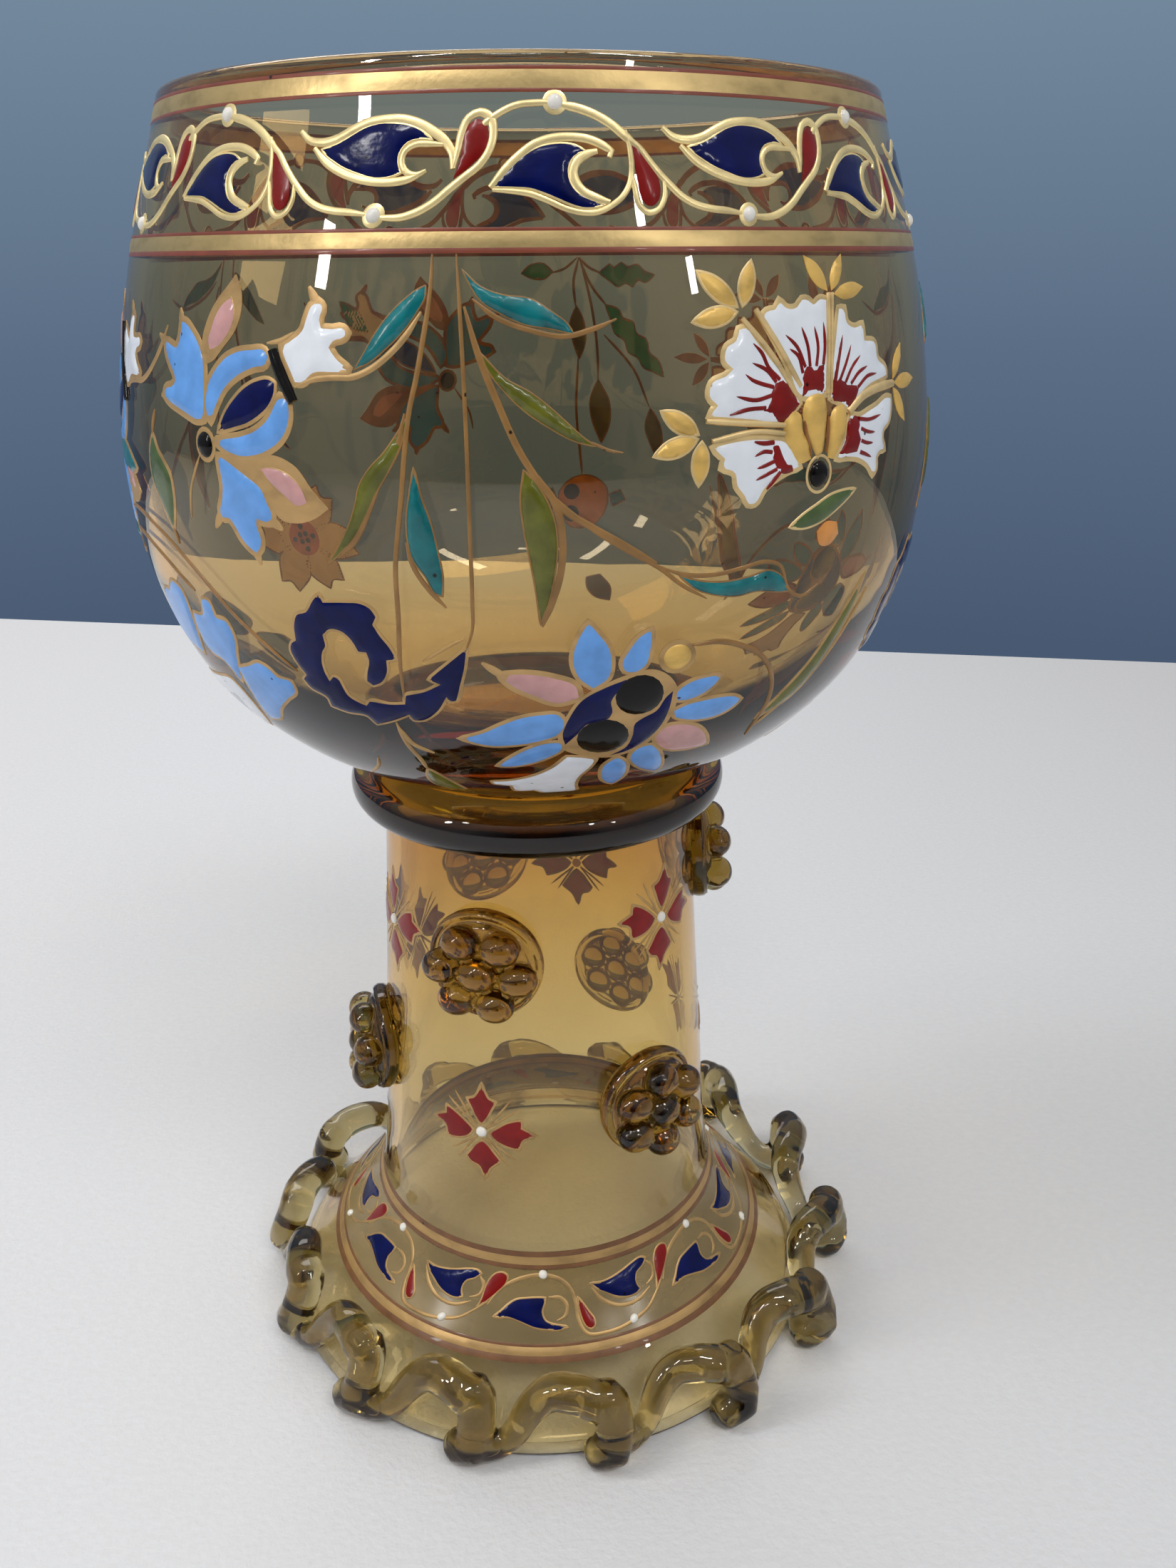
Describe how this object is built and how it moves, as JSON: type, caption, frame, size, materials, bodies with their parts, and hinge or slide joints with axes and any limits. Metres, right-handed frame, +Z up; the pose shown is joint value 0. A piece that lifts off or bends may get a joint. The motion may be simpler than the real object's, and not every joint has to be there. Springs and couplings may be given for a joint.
{
  "type": "roemer wine glass",
  "caption": "Wine glass with a round bowl on a wide hollow stem that flares into its foot, with a ring at the joint, raspberry prunts and a wavy thread round the foot.",
  "frame": {"origin": "centre of the flat ring that the foot stands on", "axes": "+Z up through the middle of the bowl, -Y towards the side that the picture shows, +X to its right"},
  "size_m": [0.0908, 0.0908, 0.155],
  "materials": {
    "bowl_glass": "clear pale olive glass, enamelled and gilt outside",
    "collar_glass": "clear dark amber glass",
    "stem_glass": "clear amber glass, enamelled and gilt outside",
    "thread_glass": "clear smoky olive glass",
    "prunt_glass": "clear smoky amber glass"
  },
  "bodies": {
    "root": {"bowl": "bowl_glass", "collar_ring": "collar_glass", "stem_foot": "stem_glass", "foot_thread": "thread_glass", "prunt_1": "prunt_glass", "prunt_2": "prunt_glass", "prunt_3": "prunt_glass", "prunt_4": "prunt_glass", "prunt_5": "prunt_glass", "prunt_6": "prunt_glass"}
  },
  "joints": []
}
